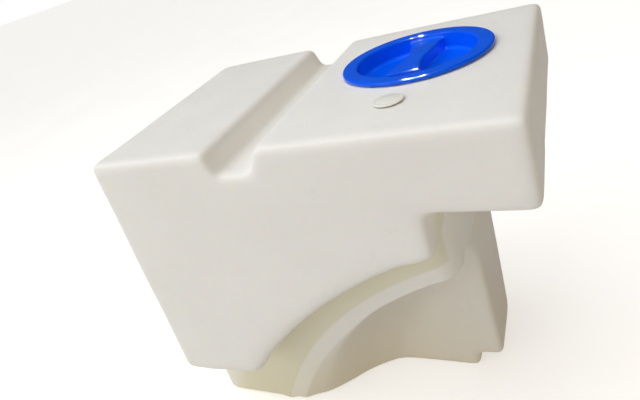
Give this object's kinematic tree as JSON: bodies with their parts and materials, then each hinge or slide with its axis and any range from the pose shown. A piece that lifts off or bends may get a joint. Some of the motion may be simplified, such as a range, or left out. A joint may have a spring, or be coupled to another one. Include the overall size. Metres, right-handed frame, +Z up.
{
  "type": "vehicle water tank",
  "caption": "Wheel-arch fresh water tank with a stepped body, strap groove, large screw hatch, blanked port, hose tails and a screw drain plug.",
  "frame": {"origin": "on the underside that the tank rests on, below the middle of the strap groove and half way from the front face to the back", "axes": "+X along the tank towards the overhang, +Y from the front face to the back, +Z up"},
  "size_m": [0.5998, 0.389, 0.4982],
  "materials": {
    "polyethylene": "satin natural polyethylene",
    "blue_moulding": "glossy",
    "white_moulding": "satin",
    "port_white": "glossy",
    "black_moulding": "satin",
    "rubber": "matt",
    "soft_seal": "matt",
    "steel": "plain"
  },
  "bodies": {
    "tank": {"tank_shell": "polyethylene", "hatch_collar": "white_moulding", "collar_gasket": "rubber", "backing_ring": "white_moulding", "collar_screw_1": "steel", "collar_screw_2": "steel", "collar_screw_3": "steel", "collar_screw_4": "steel", "collar_screw_5": "steel", "collar_screw_6": "steel", "collar_screw_7": "steel", "collar_screw_8": "steel", "filler_tail": "black_moulding", "filler_seal": "rubber", "filler_nut": "black_moulding", "vent_tail": "black_moulding", "vent_seal": "rubber", "vent_nut": "black_moulding", "outlet_tail": "black_moulding", "outlet_seal": "rubber", "outlet_nut": "black_moulding", "drain_bush": "black_moulding", "drain_bush_seal": "rubber", "drain_nut": "black_moulding"},
    "hatch_seal": {"lid_seal": "rubber"},
    "hatch": {"hatch_lid": "blue_moulding"},
    "port": {"port_plug": "port_white", "port_plug_seal": "soft_seal"},
    "drain_seal": {"drain_plug_seal": "rubber"},
    "drain": {"drain_plug": "blue_moulding"}
  },
  "joints": [
    {"name": "hatch_lift", "type": "slide", "parent": "tank", "child": "hatch_seal", "axis": [0, 0, 1], "range_m": [0, 0.01205]},
    {"name": "hatch_turn", "type": "hinge", "parent": "hatch_seal", "child": "hatch", "pos_m": [0.18, 0.0325, 0.492], "axis": [0, 0, 1], "range_deg": [0, 360]},
    {"name": "port_pull", "type": "slide", "parent": "tank", "child": "port", "axis": [0, 0, 1], "range_m": [0, 0.018]},
    {"name": "drain_lift", "type": "slide", "parent": "tank", "child": "drain_seal", "axis": [-1, 0, 0], "range_m": [0, 0.00605]},
    {"name": "drain_turn", "type": "hinge", "parent": "drain_seal", "child": "drain", "pos_m": [-0.225, 0.0105, 0.034], "axis": [-1, 0, 0], "range_deg": [0, 720]}
  ],
  "couplings": [
    {"joint": "hatch_lift", "follows": "hatch_turn", "m_per_rad": 0.0019099},
    {"joint": "drain_lift", "follows": "drain_turn", "m_per_rad": 0.00047746}
  ]
}
